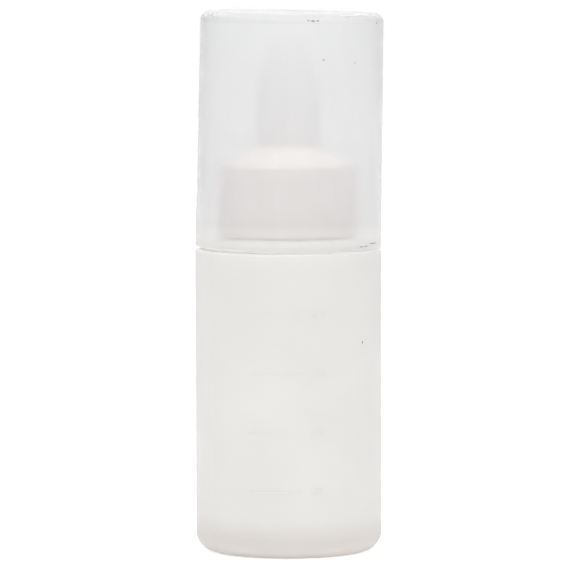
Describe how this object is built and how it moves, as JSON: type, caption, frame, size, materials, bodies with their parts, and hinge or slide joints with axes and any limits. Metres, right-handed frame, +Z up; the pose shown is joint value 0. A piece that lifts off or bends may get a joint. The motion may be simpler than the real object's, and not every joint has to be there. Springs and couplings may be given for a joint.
{
  "type": "squeeze bottle",
  "caption": "Round squeeze bottle with raised volume marks, a threaded neck, a screw cap with a bullet nozzle, a sealing ring and a see-through push-on cover.",
  "frame": {"origin": "middle of the surface that the bottle stands on", "axes": "+Z up along the bottle's axis, from the base to the cover's top; the volume marks face -Y"},
  "size_m": [0.06, 0.0602, 0.1735],
  "materials": {
    "milky_body": "translucent milky, satin",
    "soft_seal": "soft, matt",
    "white_cap": "moulded, satin",
    "clear_cover": "hazy see-through, glossy"
  },
  "bodies": {
    "bottle": {"bottle": "milky_body"},
    "sealing_ring": {"sealing_ring": "soft_seal"},
    "screw_cap": {"screw_cap": "white_cap"},
    "cover": {"cover": "clear_cover"}
  },
  "joints": [
    {"name": "cover_lift", "type": "slide", "parent": "bottle", "child": "cover", "axis": [0, 0, 1], "range_m": [0, 0.075]},
    {"name": "ring_lift", "type": "slide", "parent": "bottle", "child": "sealing_ring", "axis": [0, 0, 1], "range_m": [0, 0.005]},
    {"name": "cap_turn", "type": "hinge", "parent": "sealing_ring", "child": "screw_cap", "pos_m": [0, 0, 0.1125], "axis": [0, 0, 1], "range_deg": [0, 450]}
  ],
  "couplings": [
    {"joint": "ring_lift", "follows": "cap_turn", "m_per_rad": 0.00063662}
  ]
}
